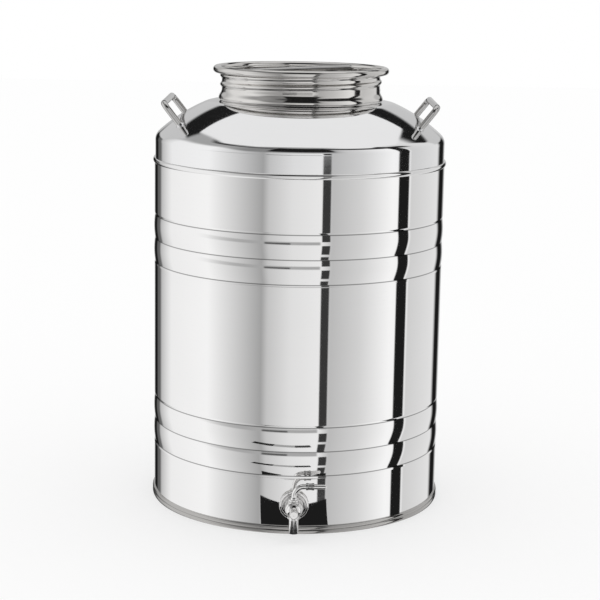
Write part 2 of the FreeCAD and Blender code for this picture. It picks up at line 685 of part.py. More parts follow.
def tap_lever_collar():
    """Waisted collar on the level part of the lever."""
    level = HUB_Z + HUB_RADIUS + LEVER_BEND
    rim = COLLAR_LENGTH / 5
    collar = turned(
        (LEVER_RADIUS + ASSEMBLY_GAP, 0.0),
        (COLLAR_RADIUS, 0.0),
        (COLLAR_RADIUS, rim),
        ((COLLAR_RADIUS - COLLAR_WAIST, COLLAR_LENGTH / 2), (COLLAR_RADIUS, COLLAR_LENGTH - rim)),
        (COLLAR_RADIUS, COLLAR_LENGTH),
        (LEVER_RADIUS + ASSEMBLY_GAP, COLLAR_LENGTH),
    )
    collar.rotate(V(0, 0, 0), V(0, 1, 0), 90)
    collar.translate(V(COLLAR_START, PLUG_Y, level))
    return collar


PIECES = {
    "body_shell": body_shell,
    "base_ring": base_ring,
    "base_pan": base_pan,
    "shoulder_dome": shoulder_dome,
    "seam_ring": seam_ring,
    "neck_collar": neck_collar,
    "handle_right": lambda: handle(+1),
    "handle_left": lambda: handle(-1),
    "handle_pads_right": lambda: handle_pads(+1),
    "handle_pads_left": lambda: handle_pads(-1),
    "lid_pan": lid_pan,
    "lid_grip": lid_grip,
    "lid_gasket": lid_gasket,
    "tap_outer_gasket": tap_outer_gasket,
    "tap_body": tap_body,
    "tap_spout": tap_spout,
    "tap_front_cap": tap_front_cap,
    "tap_inner_gasket": tap_inner_gasket,
    "tap_inner_washer": tap_inner_washer,
    "tap_lock_nut": tap_lock_nut,
    "tap_plug": tap_plug,
    "tap_plug_rings": tap_plug_rings,
    "tap_plug_washer": tap_plug_washer,
    "tap_plug_nut": tap_plug_nut,
    "tap_hub": tap_hub,
    "tap_lever": tap_lever,
    "tap_lever_collar": tap_lever_collar,
}

os.makedirs("parts", exist_ok=True)
for name, make in PIECES.items():
    make().exportStep(f"parts/{name}.step")
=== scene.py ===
"""Finish of a polished steel drum with a screw lid, two side handles and a small tap."""
import math
import bpy
from mathutils import Matrix, Vector


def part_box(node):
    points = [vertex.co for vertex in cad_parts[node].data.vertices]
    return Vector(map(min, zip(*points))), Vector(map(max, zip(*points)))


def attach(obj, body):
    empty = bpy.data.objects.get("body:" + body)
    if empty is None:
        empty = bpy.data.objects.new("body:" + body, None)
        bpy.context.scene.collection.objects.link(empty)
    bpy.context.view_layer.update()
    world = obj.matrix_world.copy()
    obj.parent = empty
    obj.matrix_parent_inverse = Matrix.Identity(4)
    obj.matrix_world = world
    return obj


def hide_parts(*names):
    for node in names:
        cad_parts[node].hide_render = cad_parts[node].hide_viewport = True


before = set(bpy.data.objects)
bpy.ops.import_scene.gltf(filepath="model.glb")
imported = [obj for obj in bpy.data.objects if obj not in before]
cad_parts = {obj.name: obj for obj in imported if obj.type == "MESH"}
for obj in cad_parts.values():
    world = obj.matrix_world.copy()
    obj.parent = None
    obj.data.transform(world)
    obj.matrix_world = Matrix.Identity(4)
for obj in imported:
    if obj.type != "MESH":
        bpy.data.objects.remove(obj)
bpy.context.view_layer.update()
scene = bpy.context.scene

# The camera looks down at the drum from about two metres, a little off the level,
# with a long lens that keeps the wall nearly straight.
CAMERA_BACK = 2.1692
CAMERA_HEIGHT = 0.6804
CAMERA_PITCH = math.radians(11.097)
CAMERA_YAW = math.radians(0.090)
CAMERA_ROLL = math.radians(0.971)
SENSOR = 36.0
FOCAL_PIXELS = 1699.2
IMAGE_PIXELS = 600
FARTHEST_SEEN = 50.0

camera_data = bpy.data.cameras.new("camera")
camera_data.sensor_width = SENSOR
camera_data.lens = SENSOR * FOCAL_PIXELS / IMAGE_PIXELS
camera_data.clip_end = FARTHEST_SEEN
camera = bpy.data.objects.new("camera", camera_data)
scene.collection.objects.link(camera)
heading = Matrix.Rotation(-CAMERA_YAW, 3, "Z")
tilt = Matrix.Rotation(math.pi / 2 - CAMERA_PITCH, 3, "X")
lean = Matrix.Rotation(CAMERA_ROLL, 3, "Z")
camera.rotation_euler = (heading @ tilt @ lean).to_euler()
camera.location = (0.0, -CAMERA_BACK, CAMERA_HEIGHT)
scene.camera = camera
scene.view_settings.view_transform = "Standard"


class Value:
    """One socket of a node tree. Sums written on it add Math nodes to the tree."""

    def __init__(self, graph, socket):
        self.graph = graph
        self.socket = socket

    def math(self, operation, *others):
        """The result of a Math node on this value and others."""
        sockets = {i: v for i, v in enumerate((self,) + others)}
        return self.graph.add("ShaderNodeMath", {"operation": operation}, sockets)

    def __add__(self, other):
        return self.math("ADD", other)

    def __sub__(self, other):
        return self.math("SUBTRACT", other)

    def __mul__(self, other):
        return self.math("MULTIPLY", other)

    def __truediv__(self, other):
        return self.math("DIVIDE", other)

    def __rsub__(self, other):
        return (self * -1) + other

    def __neg__(self):
        return self * -1

    __radd__ = __add__
    __rmul__ = __mul__

    def step(self, start, end):
        """Rises smoothly from 0 to 1 between two values."""
        sockets = {"Value": self, "From Min": start, "From Max": end}
        return self.graph.add("ShaderNodeMapRange", {"interpolation_type": "SMOOTHSTEP"}, sockets)

    def between(self, low, high, soft):
        """1 between two values and 0 outside them, with soft edges."""
        return self.step(low - soft, low + soft) * (1 - self.step(high - soft, high + soft))


class Graph:
    """A node tree, to which every node is added by its type, settings and sockets."""

    def __init__(self, tree):
        self.tree = tree

    def add(self, kind, settings=None, sockets=None, out=0):
        """Adds a node, sets it up, joins its sockets and gives one of its outputs."""
        node = self.tree.nodes.new(kind)
        for name, setting in (settings or {}).items():
            if name == "stops":
                self.set_stops(node.color_ramp.elements, setting)
            else:
                setattr(node, name, setting)
        for name, value in (sockets or {}).items():
            if isinstance(value, Value):
                self.tree.links.new(value.socket, node.inputs[name])
            else:
                node.inputs[name].default_value = value
        return Value(self, node.outputs[out] if len(node.outputs) else None)

    def set_stops(self, elements, stops):
        """Gives a ramp its grey stops."""
        while len(elements) < len(stops):
            elements.new(0.5)
        for element, (place, grey) in zip(elements, stops):
            element.position = place
            element.color = (grey, grey, grey, 1.0)


# The room is a white studio of soft panels with dark gaps between them. Polished steel shows
# it by direction only. Everything else sees a plain white room.
ROOM_WHITE = 1.0
ROOM_DARK = 0.012

# Grey levels round the room, each at its azimuth in degrees. The front is at 0, and the
# drum's left side shows the negative ones.
ROUND_THE_ROOM = (
    (-180, 0.55), (-167, 0.50), (-164, 0.01), (-153, 0.01), (-150, 0.12), (-143, 0.13),
    (-139, 0.52), (-120, 0.90), (-75, 0.96), (-52, 0.68), (-28, 0.38), (-23, 0.58), (-5, 0.78),
    (17, 0.86), (26, 0.52), (50, 0.68), (78, 0.98), (96, 0.95), (98, 0.66), (120, 0.74),
    (140, 0.80), (146, 0.01), (158, 0.01), (167, 0.60), (180, 0.60),
)

# Panels and gaps that are laid over them, in degrees. Three values are where one starts and
# ends and how soft its edges are. Two values are the ends of a fade.
HORIZON_HEIGHT = (-4.8, -0.8, 0.9)
HORIZON_FROM = (-90, -34)
HORIZON_TO = (16, 18)
HORIZON_GREY = 0.40
FAR_STRIP_HEIGHT = (-4.4, -2.2, 0.6)
FAR_STRIP_SIDES = (-26, -6, 1.0)
FAR_STRIP_GREY = 0.10
STAND_SIDES = (18.2, 24.6, 0.5)
STAND_UPPER_BREAK = (-6.0, -0.8, 0.3)
STAND_LOWER_BREAK = (-21.5, -18.5, 0.8)
STAND_TOP = (12, 16)
STAND_GREY = 0.04
TALL_GAP_SIDES = (84, 95.5, 0.8)
TALL_GAP_TOP = (58, 64)
SHADE_LEFT = (-75, -40)
SHADE_LEFT_LIFT = 16
SHADE_HEIGHT = (10, 26)
SHADE_SIDES = (-150, 30, 12.0)
SHADE_GREY = 0.24
SHADE_LEFT_GREY = 0.14
LEFT_LINE_HEIGHT = (52, 59, 2.0)
LEFT_LINE_SIDES = (-132, -27, 4.0)
LEFT_LINE_GREY = 0.06
FRONT_GAP_HEIGHT = (27, 63, 2.0)
FRONT_GAP_SIDES = (-27, 30, 2.5)
RIGHT_GAP_HEIGHT = (50, 63, 3.0)
RIGHT_GAP_SIDES = (28, 110, 4.0)
RIGHT_GAP_START = 30
RIGHT_GAP_FALL = 0.25
UPPER_HEIGHT = (64, 68)
UPPER_GREY = 0.34
BEHIND_RIGHT = (132, 140)
BEHIND_LEFT = (136, 140)
BEHIND_HEIGHT = (6, 10)
BEHIND_GREY = 0.58
BEHIND_GAP_HEIGHT = (24, 28)

# The ceiling is one bright panel with slanted sides. Its edges, and the side of the gap
# behind, are distances across and along for one unit of height, as the ends of a fade.
BEHIND_GAP_SIDE = (-0.94, -0.88)
CEILING_LEFT = (-0.50, -0.46)
CEILING_LEFT_SLANT = 0.30
CEILING_RIGHT = (0.72, 0.76)
CEILING_NEAR = (-0.24, -0.20)
CEILING_FAR = (1.02, 1.05)
CEILING_FAR_SLANT = 0.22
CEILING_LOW = (0.3, 0.4)
CEILING_GREY = 0.86
LEAST_RISE = 0.01


def laid_over(light, level, mask):
    """The light with a patch of another level laid over it."""
    return light + (level - light) * mask


def low_walls(light, azimuth, height):
    """Bands along the horizon, and the stand and the tall gap that rise from the floor."""
    horizon = height.between(*HORIZON_HEIGHT) * azimuth.step(*HORIZON_FROM)
    light = laid_over(light, HORIZON_GREY, horizon * (1 - azimuth.step(*HORIZON_TO)))
    far_strip = height.between(*FAR_STRIP_HEIGHT) * azimuth.between(*FAR_STRIP_SIDES)
    light = laid_over(light, FAR_STRIP_GREY, far_strip)
    stand = azimuth.between(*STAND_SIDES) * (1 - height.between(*STAND_UPPER_BREAK))
    stand = stand * (1 - height.between(*STAND_LOWER_BREAK))
    light = laid_over(light, STAND_GREY, stand * (1 - height.step(*STAND_TOP)))
    tall_gap = azimuth.between(*TALL_GAP_SIDES) * (1 - height.step(*TALL_GAP_TOP))
    return laid_over(light, ROOM_DARK, tall_gap)


def high_walls(light, azimuth, height):
    """Shade above the panels and the dark gaps under the ceiling."""
    to_left = 1 - azimuth.step(*SHADE_LEFT)
    shade = (height - to_left * SHADE_LEFT_LIFT).step(*SHADE_HEIGHT) * azimuth.between(*SHADE_SIDES)
    light = laid_over(light, SHADE_GREY + to_left * SHADE_LEFT_GREY, shade)
    left_line = height.between(*LEFT_LINE_HEIGHT) * azimuth.between(*LEFT_LINE_SIDES)
    light = laid_over(light, LEFT_LINE_GREY, left_line)
    front_gap = height.between(*FRONT_GAP_HEIGHT) * azimuth.between(*FRONT_GAP_SIDES)
    light = laid_over(light, ROOM_DARK, front_gap)
    falling = height + (azimuth - RIGHT_GAP_START) * RIGHT_GAP_FALL
    right_gap = falling.between(*RIGHT_GAP_HEIGHT) * azimuth.between(*RIGHT_GAP_SIDES)
    light = laid_over(light, ROOM_DARK, right_gap)
    return laid_over(light, UPPER_GREY, height.step(*UPPER_HEIGHT))


def light_of_the_room(graph):
    """Grey level of the room in each direction, from azimuth and height in degrees."""
    ray = graph.add("ShaderNodeTexCoord", out="Generated")
    x, y, z = (graph.add("ShaderNodeSeparateXYZ", None, {0: ray}, out=axis) for axis in "XYZ")
    azimuth = x.math("ARCTAN2", -y) * math.degrees(1)
    height = z.math("ARCSINE") * math.degrees(1)
    stops = [((angle + 180) / 360, level) for angle, level in ROUND_THE_ROOM]
    light = graph.add("ShaderNodeValToRGB", {"stops": stops}, {0: (azimuth + 180) / 360})
    light = high_walls(low_walls(light, azimuth, height), azimuth, height)
    rise = z.math("MAXIMUM", LEAST_RISE)
    across = x / rise
    along = y / rise
    behind = azimuth.step(*BEHIND_RIGHT) + (-azimuth).step(*BEHIND_LEFT)
    light = laid_over(light, BEHIND_GREY, behind * height.step(*BEHIND_HEIGHT))
    behind_gap = behind * height.step(*BEHIND_GAP_HEIGHT) * across.step(*BEHIND_GAP_SIDE)
    light = laid_over(light, ROOM_DARK, behind_gap)
    left_side = across + along * CEILING_LEFT_SLANT
    far_side = along - across * CEILING_FAR_SLANT
    ceiling = left_side.step(*CEILING_LEFT) * (1 - across.step(*CEILING_RIGHT))
    ceiling = ceiling * along.step(*CEILING_NEAR) * (1 - far_side.step(*CEILING_FAR))
    return laid_over(light, CEILING_GREY, ceiling * z.step(*CEILING_LOW))


def light_the_room(world):
    """Glossy rays see the panels of the room, and all other rays see white."""
    world.use_nodes = True
    world.node_tree.nodes.clear()
    graph = Graph(world.node_tree)
    panels = light_of_the_room(graph)
    glossy = graph.add("ShaderNodeLightPath", out="Is Glossy Ray")
    level = laid_over(ROOM_WHITE, panels, glossy)
    sky = graph.add("ShaderNodeBackground", None, {"Color": (1, 1, 1, 1), "Strength": level})
    graph.add("ShaderNodeOutputWorld", None, {"Surface": sky})


scene.world = bpy.data.worlds.new("studio")
light_the_room(scene.world)

# The floor is a plain white sheet. The camera sees it half lit by itself, so that only
# a faint shadow stays round the drum's foot, and polished steel doesn't mirror it.
FLOOR_REACH = 8.0
FLOOR_GLOW = 0.5
PAPER_WHITE = (0.98, 0.98, 0.98, 1)


def bare_finish(name):
    """A material with an empty node tree, and the graph that fills it."""
    material = bpy.data.materials.new(name)
    material.use_nodes = True
    material.node_tree.nodes.clear()
    return material, Graph(material.node_tree)


def white_sheet():
    """White paper that the camera sees half lit by itself."""
    material, graph = bare_finish("floor_sheet")
    paper = graph.add("ShaderNodeBsdfDiffuse", None, {"Color": PAPER_WHITE})
    glow = graph.add("ShaderNodeEmission", None, {"Color": (1, 1, 1, 1), "Strength": 1.0})
    seen = graph.add("ShaderNodeLightPath", out="Is Camera Ray") * FLOOR_GLOW
    both = graph.add("ShaderNodeMixShader", None, {0: seen, 1: paper, 2: glow})
    graph.add("ShaderNodeOutputMaterial", None, {"Surface": both})
    return material


corners = [(-1, -1), (1, -1), (1, 1), (-1, 1)]
floor_mesh = bpy.data.meshes.new("floor")
floor_mesh.from_pydata([(FLOOR_REACH * x, FLOOR_REACH * y, 0) for x, y in corners], [], [(0, 1, 2, 3)])
floor_mesh.materials.append(white_sheet())
floor = bpy.data.objects.new("floor", floor_mesh)
floor.visible_glossy = False
scene.collection.objects.link(floor)

# A dark mat lies in front of the tap, and narrow strips lie beyond it. Only polished steel
# shows them, low on the wall and in the lower ribs.
MAT_HEIGHT = 0.0005
MAT_CORNERS = ((-0.052, -0.205), (0.055, -0.205), (0.098, -0.303), (0.0, -0.296), (-0.108, -0.311))
STRIP_NEAR = -0.405
STRIP_FAR = -0.445
STRIPS = (
    ("strip_left", -0.215, -0.10, 0.02),
    ("strip_middle", -0.10, 0.0, 0.35),
    ("strip_right", 0.0, 0.072, 0.05),
)


def felt(name, tone):
    """Felt of one even tone, whatever light falls on it."""
    material, graph = bare_finish(name)
    glow = graph.add("ShaderNodeEmission", None, {"Color": (tone, tone, tone, 1)})
    graph.add("ShaderNodeOutputMaterial", None, {"Surface": glow})
    return material


def lay_mat(name, corners, tone):
    """A flat piece of felt on the floor that only glossy rays see."""
    mesh = bpy.data.meshes.new(name)
    spots = [(x, y, MAT_HEIGHT) for x, y in reversed(corners)]
    mesh.from_pydata(spots, [], [tuple(range(len(spots)))])
    mesh.materials.append(felt(name, tone))
    mat = bpy.data.objects.new(name, mesh)
    mat.visible_camera = False
    mat.visible_diffuse = False
    mat.visible_shadow = False
    scene.collection.objects.link(mat)


lay_mat("mat", MAT_CORNERS, ROOM_DARK)
for name, left, right, tone in STRIPS:
    near = ((left, STRIP_NEAR), (right, STRIP_NEAR))
    far = ((right, STRIP_FAR), (left, STRIP_FAR))
    lay_mat(name, near + far, tone)

# The drum's wall is a tube of cold-rolled steel sheet, polished to a mirror. Two groups of
# two shallow ribs are rolled into it. Its ends stand in the foot ring and under the seam ring.
SHEET = 0.0008
RIB_CROWN = 0.0006
RIB_CREASE = 0.0005
RIB_HEIGHT = 0.0301
RIB_LEAD = 0.0025
RIB_SHARPNESS = 0.0004
RIBS = 2
RIB_GROUPS = (0.0727, 0.3085)
RIB_GROUP_HEIGHT = RIBS * RIB_HEIGHT
RIB_STEP_GROWTH = 1.35
OUTER_RIB_STEPS = (0.00015, 0.0014)
INNER_RIB_STEPS = (0.0006, 0.003)
# Painted shade: each crease of the wall gets a dark line in its colour, this wide and this much darker.
CREASE_SHADE_WIDTH = 0.0009
CREASE_SHADE_STRENGTH = 0.6
RUN_GUARD = 0.0006
CORNER_LIMIT = 0.5
TURNED_SEGMENTS = 300
MERGE_DISTANCE = 1e-6
SHARP_EDGE = math.radians(28)


def arc(centre, radius, start, end, step=3.0):
    """Points of an arc in the section plane, between two angles in degrees."""
    count = max(2, round(abs(end - start) / step))
    points = []
    for i in range(count + 1):
        turn = math.radians(start + (end - start) * i / count)
        points.append((centre[0] + radius * math.cos(turn), centre[1] + radius * math.sin(turn)))
    return points


def guarded(points):
    """Adds a point beside each end of a long straight run, so that the run shades flat."""
    result = [points[0]]
    for here, there in zip(points, points[1:]):
        length = math.dist(here, there)
        if length > 4 * RUN_GUARD:
            for share in (RUN_GUARD / length, 1 - RUN_GUARD / length):
                result.append(tuple(a + (b - a) * share for a, b in zip(here, there)))
        result.append(there)
    return result


def sheet_section(line, thickness):
    """Closed section of a sheet, from the line of one face. The sheet lies on the line's left."""
    line = guarded(line)
    other = []
    for i, here in enumerate(line):
        before = line[max(i - 1, 0)]
        after = line[min(i + 1, len(line) - 1)]
        back = Vector(here) - Vector(before)
        ahead = Vector(after) - Vector(here)
        way = back.normalized() + ahead.normalized()
        way.normalize()
        flank = Vector((-way.y, way.x))
        straight = ahead.normalized() if ahead.length else back.normalized()
        stretch = 1 / max(CORNER_LIMIT, way.dot(straight))
        other.append(tuple(Vector(here) + flank * thickness * stretch))
    return line + other[::-1] + [line[0]]


def new_tree(name, inputs):
    """An empty geometry tree with a mesh input, named inputs and a mesh output."""
    tree = bpy.data.node_groups.new(name, "GeometryNodeTree")
    tree.is_modifier = True
    tree.interface.new_socket("Geometry", in_out="INPUT", socket_type="NodeSocketGeometry")
    for label, kind in inputs.items():
        tree.interface.new_socket(label, in_out="INPUT", socket_type="NodeSocket" + kind)
    tree.interface.new_socket("Geometry", in_out="OUTPUT", socket_type="NodeSocketGeometry")
    return Graph(tree)


def end_tree(graph, geometry):
    """Shades the mesh, keeps its sharp edges, gives it its material and ends the tree."""
    smooth = graph.add("GeometryNodeSetShadeSmooth", None, {"Geometry": geometry})
    angle = graph.add("GeometryNodeInputMeshEdgeAngle", out="Unsigned Angle")
    sharp = graph.add("GeometryNodeSetShadeSmooth", {"domain": "EDGE"}, {
        "Geometry": smooth, "Selection": angle.math("GREATER_THAN", SHARP_EDGE), "Shade Smooth": False})
    real = graph.add("GeometryNodeRealizeInstances", None, {"Geometry": sharp})
    finish = graph.add("NodeGroupInput", out="Material")
    done = graph.add("GeometryNodeSetMaterial", None, {"Geometry": real, "Material": finish})
    graph.add("NodeGroupOutput", None, {"Geometry": done})
    return graph.tree


def turned_tree():
    """Turns an outline in the XZ plane round the Z axis."""
    graph = new_tree("turned", {"Segments": "Int", "Material": "Material"})
    line = graph.add("NodeGroupInput", out="Geometry")
    segments = graph.add("NodeGroupInput", out="Segments")
    rows = graph.add("GeometryNodeAttributeDomainSize", None, {"Geometry": line}, out="Point Count")
    grid = graph.add("GeometryNodeMeshGrid", None, {"Vertices X": segments + 1, "Vertices Y": rows})
    index = graph.add("GeometryNodeInputIndex")
    column = (index / rows).math("FLOOR")
    place = graph.add("GeometryNodeInputPosition")
    on_line = graph.add("GeometryNodeSampleIndex", {"data_type": "FLOAT_VECTOR"}, {
        "Geometry": line, "Value": place, "Index": index - column * rows})
    radius = graph.add("ShaderNodeSeparateXYZ", None, {0: on_line}, out="X")
    height = graph.add("ShaderNodeSeparateXYZ", None, {0: on_line}, out="Z")
    angle = column / segments * math.tau
    spot = graph.add("ShaderNodeCombineXYZ", None, {
        "X": radius * angle.math("COSINE"), "Y": radius * angle.math("SINE"), "Z": height})
    shell = graph.add("GeometryNodeSetPosition", None, {"Geometry": grid, "Position": spot})
    closed = graph.add("GeometryNodeMergeByDistance", None, {
        "Geometry": shell, "Distance": MERGE_DISTANCE})
    faces = graph.add("GeometryNodeInputMeshEdgeNeighbors", out="Face Count")
    trimmed = graph.add("GeometryNodeDeleteGeometry", {"domain": "EDGE", "mode": "EDGE_FACE"}, {
        "Geometry": closed, "Selection": faces.math("LESS_THAN", 0.5)})
    return end_tree(graph, trimmed)


def shaped(name, points, *steps):
    """Runs geometry trees, each with its inputs, on a line of points, and keeps the plain mesh."""
    mesh = bpy.data.meshes.new(name)
    mesh.from_pydata(points, [(i, i + 1) for i in range(len(points) - 1)], [])
    piece = bpy.data.objects.new(name, mesh)
    scene.collection.objects.link(piece)
    for tree, inputs in steps:
        modifier = piece.modifiers.new(tree.name, "NODES")
        modifier.node_group = tree
        for item in tree.interface.items_tree:
            if item.in_out == "INPUT" and item.name in inputs:
                modifier[item.identifier] = inputs[item.name]
    evaluated = piece.evaluated_get(bpy.context.evaluated_depsgraph_get())
    result = bpy.data.meshes.new_from_object(evaluated)
    piece.modifiers.clear()
    piece.data = result
    result.name = name
    return piece


def turned(name, section, material):
    """A piece turned round the Z axis from its closed section."""
    points = [(r, 0.0, z) for r, z in section]
    return shaped(name, points, (TURNED, {"Segments": TURNED_SEGMENTS, "Material": material}))


LINE_SCALE = (9.0, 9.0, 900.0)
CLOUD_SCALE = 14.0
SWELL_SCALE = 7.0
CLOUD_SHARE = 0.03
LINE_SHARE = 0.02
LINE_DEPTH = 0.0004
LEAST_ROUGHNESS = 0.02


def polished_steel(name, tone, roughness, lines, wave, warmth=0.0, relief_and_painted_shade=None):
    """Bright steel: fine lines round the axis, cloudy polish and a slight wave in the sheet."""
    material, graph = bare_finish(name)
    place = graph.add("ShaderNodeTexCoord", out="Object")
    round_lines = graph.add("ShaderNodeMapping", None, {"Vector": place, "Scale": LINE_SCALE})
    grain = graph.add("ShaderNodeTexNoise", None, {"Vector": round_lines, "Scale": 1.0, "Detail": 4.0})
    cloud = graph.add("ShaderNodeTexNoise", None, {"Vector": place, "Scale": CLOUD_SCALE, "Detail": 3.0})
    swell = graph.add("ShaderNodeTexNoise", None, {"Vector": place, "Scale": SWELL_SCALE, "Detail": 0.0})
    shade = cloud * CLOUD_SHARE + grain * LINE_SHARE + (tone - (CLOUD_SHARE + LINE_SHARE) / 2)
    fine = graph.add("ShaderNodeBump", None, {"Height": grain, "Distance": lines * LINE_DEPTH})
    normal = graph.add("ShaderNodeBump", None, {"Height": swell, "Distance": wave, "Normal": fine})
    # The hook paints shade into the colour, and can add relief.
    if relief_and_painted_shade:
        shade, normal = relief_and_painted_shade(graph, place, shade, normal)
    colour = graph.add("ShaderNodeCombineColor", None, {
        "Red": shade, "Green": shade * (1 - warmth * 0.4), "Blue": shade * (1.005 - warmth)})
    rough = (grain - 0.5) * lines * 2 + (cloud - 0.5) * roughness + roughness
    rough = rough.math("MAXIMUM", LEAST_ROUGHNESS)
    steel = graph.add("ShaderNodeBsdfPrincipled", None, {
        "Base Color": colour, "Metallic": 1.0, "Roughness": rough, "Normal": normal})
    graph.add("ShaderNodeOutputMaterial", None, {"Surface": steel})
    return material


def fitted(piece, body, slot, *nodes):
    """The piece rides on its body and stands for the frame's nodes."""
    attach(piece, body)
    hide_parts(*nodes)


def painted_crease_shade(graph, place, shade, normal):
    """Paints shade into the colour: a dark line along each crease between the ribs."""
    z = graph.add("ShaderNodeSeparateXYZ", None, {0: place}, out="Z")
    for base in RIB_GROUPS:
        for i in range(RIBS + 1):
            away = (z - base - i * RIB_HEIGHT).math("ABSOLUTE")
            # Painted shade: the colour darkens along the crease.
            shade = shade * (1 - (1 - away.step(CREASE_SHADE_WIDTH / 2, CREASE_SHADE_WIDTH)) * CREASE_SHADE_STRENGTH)
    return shade, normal


TURNED = turned_tree()
# The wall's colour carries painted shade along the rib creases.
WALL_STEEL = polished_steel(
    "wall_steel", tone=0.93, roughness=0.035, lines=0.004, wave=0.0001, warmth=0.012, relief_and_painted_shade=painted_crease_shade)
wall_low, wall_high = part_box("body_shell")
wall_radius = wall_high.x - RIB_CROWN


def wall_face(height):
    """Radius of the wall's outer face at a height, with its rolled ribs."""
    for base in RIB_GROUPS:
        top = base + RIB_GROUP_HEIGHT
        outside = max(base - height, height - top)
        if outside > RIB_LEAD:
            continue
        crease = min(abs(height - base - i * RIB_HEIGHT) for i in range(RIBS + 1))
        eased = math.hypot(crease, RIB_SHARPNESS) - RIB_SHARPNESS
        if outside > 0:
            return wall_radius - RIB_CREASE * (1 - eased / RIB_LEAD)
        share = 1 - eased / (RIB_HEIGHT / 2)
        return wall_radius - RIB_CREASE + (RIB_CROWN + RIB_CREASE) * (1 - share * share)
    return wall_radius


def wall_heights(fine, coarse):
    """Heights of the wall's rows: close together at the creases and wider over the crowns."""
    heights = [wall_low.z, wall_high.z]
    for base in RIB_GROUPS:
        lowest = base - 2 * RIB_LEAD
        highest = base + RIB_GROUP_HEIGHT + 2 * RIB_LEAD
        rows = [base - RIB_LEAD, base + RIB_GROUP_HEIGHT + RIB_LEAD]
        for i in range(RIBS + 1):
            crease = base + i * RIB_HEIGHT
            reach = 0.0
            gap = fine
            while reach < RIB_HEIGHT / 2:
                rows += [crease - reach, crease + reach]
                reach += gap
                gap = min(gap * RIB_STEP_GROWTH, coarse)
        heights += [z for z in rows if lowest < z < highest]
    return sorted(set(heights))


outer_face = guarded([(wall_face(z), z) for z in wall_heights(*OUTER_RIB_STEPS)])
inner_face = guarded([(wall_face(z) - SHEET, z) for z in wall_heights(*INNER_RIB_STEPS)])
wall_section = outer_face + inner_face[::-1] + outer_face[:1]
drum_wall = turned("drum_wall", wall_section, WALL_STEEL)
fitted(drum_wall, "drum", "drum_steel", "body_shell")

# The foot ring is rolled from a thicker strip of steel, with two beads round its outside.
# The wall's lower edge stands on its lip.
FOOT_BEAD = 0.0049
FOOT_BEAD_GAP = 0.0001
FOOT_SHELF = 0.001
FOOT_GROOVE = 0.0009
FOOT_LIP = 0.0024
PRESS_GAP = 0.00005
RING_STEEL = polished_steel(
    "ring_steel", tone=0.48, roughness=0.10, lines=0.02, wave=0.00002, warmth=0.05)
ring_low, ring_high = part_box("base_ring")
ring_crown = ring_high.x
ring_groove = ring_crown - FOOT_GROOVE


def bulge(radius_at_ends, crown, low, high, count=12):
    """Points of a shallow arc that stands out from one height to another."""
    half = (high - low) / 2
    rise = crown - radius_at_ends
    radius = (half * half + rise * rise) / (2 * rise)
    reach = math.degrees(math.asin(half / radius))
    return arc((crown - radius, low + half), radius, -reach, reach, 2 * reach / count)


ring_section = [(wall_radius - FOOT_LIP, ring_low.z)]
ring_section += bulge(ring_groove, ring_crown, ring_low.z, FOOT_BEAD)
ring_section += bulge(ring_groove, ring_crown, FOOT_BEAD + FOOT_BEAD_GAP, ring_high.z)
ring_section += [(wall_radius + PRESS_GAP, ring_high.z), (wall_radius + PRESS_GAP, FOOT_SHELF)]
ring_section += [(wall_radius - FOOT_LIP, FOOT_SHELF), (wall_radius - FOOT_LIP, ring_low.z)]
foot_ring = turned("foot_ring", guarded(ring_section), RING_STEEL)
fitted(foot_ring, "drum", "ring_steel", "base_ring")

# The base pan is a dished plate of the wall's sheet. It is pressed, and welded into the wall
# a little above the floor.
PAN_EDGE = 0.009
PAN_FLAT = 0.040
PAN_CORNER = 0.004
BASE_STEEL = polished_steel("base_steel", tone=0.80, roughness=0.16, lines=0.03, wave=0.0001)
pan_low, pan_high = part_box("base_pan")
pan_line = [(pan_high.x, pan_low.z)]
pan_line += arc((pan_high.x - PAN_CORNER, PAN_EDGE - PAN_CORNER), PAN_CORNER, 0, 90, 15)
pan_line += [(PAN_FLAT, pan_high.z), (0.0, pan_high.z)]
pan_sheet = turned("pan_sheet", sheet_section(pan_line, SHEET), BASE_STEEL)
fitted(pan_sheet, "drum", "drum_steel", "base_pan")

# Shoulder and dome are drawn from one sheet: a skirt that stands in the wall's top, a tight
# rounded shoulder and a shallow dome up to the mouth. Drawing leaves it a little softer.
SHOULDER_ROUND = 0.014
SHOULDER_SLOPE = 42.0
SHOULDER_START = 0.4631
SKIRT_GUARD = 0.0001
DOME_RADIUS = 0.215
MOUTH_RADIUS = 0.1002
SEAT_EDGE = 0.1136
SEAT_SLOPE = 4.0
SEAT_BEND = 0.025
DOME_STEEL = polished_steel("dome_steel", tone=0.90, roughness=0.055, lines=0.006, wave=0.0002)
dome_low, dome_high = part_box("shoulder_dome")
skirt_radius = dome_high.x


def on_circle(centre, radius, angle):
    """Point of a circle in the section plane, at an angle in degrees."""
    turn = math.radians(angle)
    return (centre[0] + radius * math.cos(turn), centre[1] + radius * math.sin(turn))


shoulder_centre = (skirt_radius - SHOULDER_ROUND, SHOULDER_START)
dome_start = 90 - SHOULDER_SLOPE
dome_centre = on_circle(shoulder_centre, SHOULDER_ROUND - DOME_RADIUS, dome_start)
seat_start = 90 - SEAT_SLOPE
bend_r = SEAT_EDGE - SEAT_BEND * math.cos(math.radians(seat_start))
bend_start = math.degrees(math.acos((bend_r - dome_centre[0]) / (DOME_RADIUS - SEAT_BEND)))
seat_bend_centre = on_circle(dome_centre, DOME_RADIUS - SEAT_BEND, bend_start)
seat_height = on_circle(seat_bend_centre, SEAT_BEND, seat_start)[1]
mouth_height = seat_height + (SEAT_EDGE - MOUTH_RADIUS) * math.tan(math.radians(SEAT_SLOPE))


def dome_face(radius):
    """Height of the dome's outer face at a radius."""
    return dome_centre[1] + math.sqrt(DOME_RADIUS ** 2 - (radius - dome_centre[0]) ** 2)


